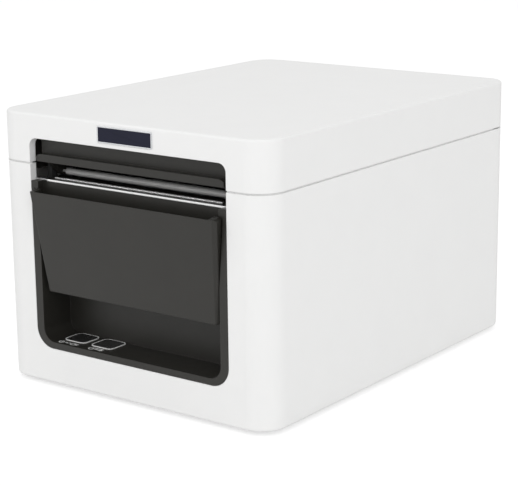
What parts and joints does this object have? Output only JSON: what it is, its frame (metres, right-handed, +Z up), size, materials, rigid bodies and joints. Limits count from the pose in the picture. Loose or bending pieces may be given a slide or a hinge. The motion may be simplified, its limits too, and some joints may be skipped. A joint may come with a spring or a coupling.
{
  "type": "receipt printer",
  "caption": "Boxy front-exit thermal receipt printer with a rear-hinged lid, a wide release lever over a finger recess, a print mechanism and a cutter.",
  "frame": {"origin": "middle of the printer's footprint, on the plane that its rubber feet stand on", "axes": "+Y from the front face with the paper exit towards the rear face with the sockets, +Z up, +X to the right as seen from the front"},
  "size_m": [0.13, 0.1792, 0.1085],
  "materials": {
    "shell_white": "fine matt, moulded",
    "liner_black": "fine matt, moulded",
    "lever_black": "fine matt, moulded",
    "key_black": "satin",
    "key_light": "milky light guide",
    "foot_rubber": "matt",
    "platen_rubber": "ground",
    "bright_strip": "polished",
    "exit_grey": "turned, satin",
    "shaft_steel": "ground",
    "screw_steel": "zinc plated",
    "blade_steel": "ground edge",
    "frame_steel": "galvanised sheet",
    "hook_steel": "black coat",
    "spring_steel": "drawn wire",
    "motor_steel": "nickel plated can",
    "brass_part": "satin",
    "gear_white": "acetal",
    "rack_black": "acetal",
    "head_alloy": "extruded",
    "head_glaze": "glazed ceramic and resin",
    "board_green": "solder mask",
    "chip_black": "moulded epoxy",
    "can_sleeve": "sleeved can",
    "port_black": "moulded",
    "port_steel": "tin plated"
  },
  "bodies": {
    "base": {"lower_case": "shell_white", "base_plate": "shell_white", "rubber_feet": "foot_rubber", "base_screws": "screw_steel", "roll_bucket": "liner_black", "front_bezel": "liner_black", "key_board": "board_green", "key_switches": "port_black", "key_rings": "key_light", "lever_spring": "spring_steel", "exit_plate": "bright_strip", "tear_bar": "blade_steel", "mech_frame": "frame_steel", "mech_screws": "screw_steel", "head_springs": "spring_steel", "feed_motor": "motor_steel", "idler_stud": "shaft_steel", "cutter_guide": "frame_steel", "cutter_motor": "motor_steel", "main_board": "board_green", "board_chips": "chip_black", "board_capacitors": "can_sleeve", "power_inlet": "port_black", "usb_port": "port_steel", "lan_port": "port_steel", "drawer_port": "port_black", "hinge_rod": "shaft_steel", "cover_switch": "port_black", "paper_sensor": "port_black"},
    "lid": {"lid_cover": "shell_white", "lid_liner": "liner_black", "lid_screws": "screw_steel", "latch_studs": "shaft_steel", "fixed_blade": "blade_steel", "platen_bushes": "brass_part"},
    "platen": {"platen_shaft": "shaft_steel", "platen_roller": "platen_rubber", "platen_gear": "gear_white"},
    "exit_roll": {"exit_roller": "exit_grey"},
    "idler": {"idler_gear": "gear_white"},
    "feed_drive": {"feed_pinion": "brass_part"},
    "lever": {"release_lever": "lever_black", "lever_axle": "shaft_steel", "lever_hooks": "hook_steel"},
    "power_button": {"power_key": "key_black"},
    "feed_button": {"feed_key": "key_black"},
    "print_head": {"head_plate": "head_alloy", "head_strip": "head_glaze"},
    "cutter_blade": {"moving_blade": "blade_steel", "blade_racks": "rack_black"},
    "cutter_cross_shaft": {"cutter_shaft": "shaft_steel", "cutter_pinions": "brass_part", "cutter_gear": "gear_white"},
    "cutter_drive": {"cutter_motor_pinion": "brass_part"}
  },
  "joints": [
    {"name": "lid_hinge", "type": "hinge", "parent": "base", "child": "lid", "pos_m": [0, 0.0861, 0.0891], "axis": [-1, 0, 0], "range_deg": [0, 90]},
    {"name": "platen_spin", "type": "hinge", "parent": "lid", "child": "platen", "pos_m": [0, -0.0534, 0.08965], "axis": [1, 0, 0], "continuous": true},
    {"name": "idler_spin", "type": "hinge", "parent": "base", "child": "idler", "pos_m": [0, -0.0534, 0.06985], "axis": [1, 0, 0], "continuous": true},
    {"name": "feed_pinion_spin", "type": "hinge", "parent": "base", "child": "feed_drive", "pos_m": [0, -0.04304, 0.05985], "axis": [1, 0, 0], "continuous": true},
    {"name": "exit_roller_spin", "type": "hinge", "parent": "lid", "child": "exit_roll", "pos_m": [0, -0.0728, 0.08465], "axis": [1, 0, 0], "continuous": true},
    {"name": "lever_pull", "type": "hinge", "parent": "base", "child": "lever", "pos_m": [0, -0.0785, 0.0485], "axis": [1, 0, 0], "range_deg": [0, 7], "stiffness_Nm_per_rad": 0.4, "springref_deg": -8.59},
    {"name": "power_key_press", "type": "slide", "parent": "base", "child": "power_button", "axis": [0, 0, -1], "range_m": [0, 0.0005], "stiffness_N_per_m": 400, "springref_m": -0.0005},
    {"name": "feed_key_press", "type": "slide", "parent": "base", "child": "feed_button", "axis": [0, 0, -1], "range_m": [0, 0.0005], "stiffness_N_per_m": 400, "springref_m": -0.0005},
    {"name": "head_tilt", "type": "hinge", "parent": "base", "child": "print_head", "pos_m": [0, -0.0334, 0.0797], "axis": [1, 0, 0], "range_deg": [0, 1], "stiffness_Nm_per_rad": 3, "springref_deg": -2.86},
    {"name": "blade_slide", "type": "slide", "parent": "base", "child": "cutter_blade", "axis": [0, 0, 1], "range_m": [0, 0.008]},
    {"name": "cutter_shaft_turn", "type": "hinge", "parent": "base", "child": "cutter_cross_shaft", "pos_m": [0, -0.058, 0.0395], "axis": [-1, 0, 0], "range_deg": [0, 83]},
    {"name": "cutter_motor_spin", "type": "hinge", "parent": "base", "child": "cutter_drive", "pos_m": [0, -0.04643, 0.05329], "axis": [1, 0, 0], "range_deg": [0, 330]}
  ],
  "couplings": [
    {"joint": "idler_spin", "follows": "platen_spin", "ratio": -0.83333},
    {"joint": "feed_pinion_spin", "follows": "platen_spin", "ratio": 2.5},
    {"joint": "cutter_shaft_turn", "follows": "blade_slide", "rad_per_m": 178.57},
    {"joint": "cutter_motor_spin", "follows": "blade_slide", "rad_per_m": 714.29}
  ]
}
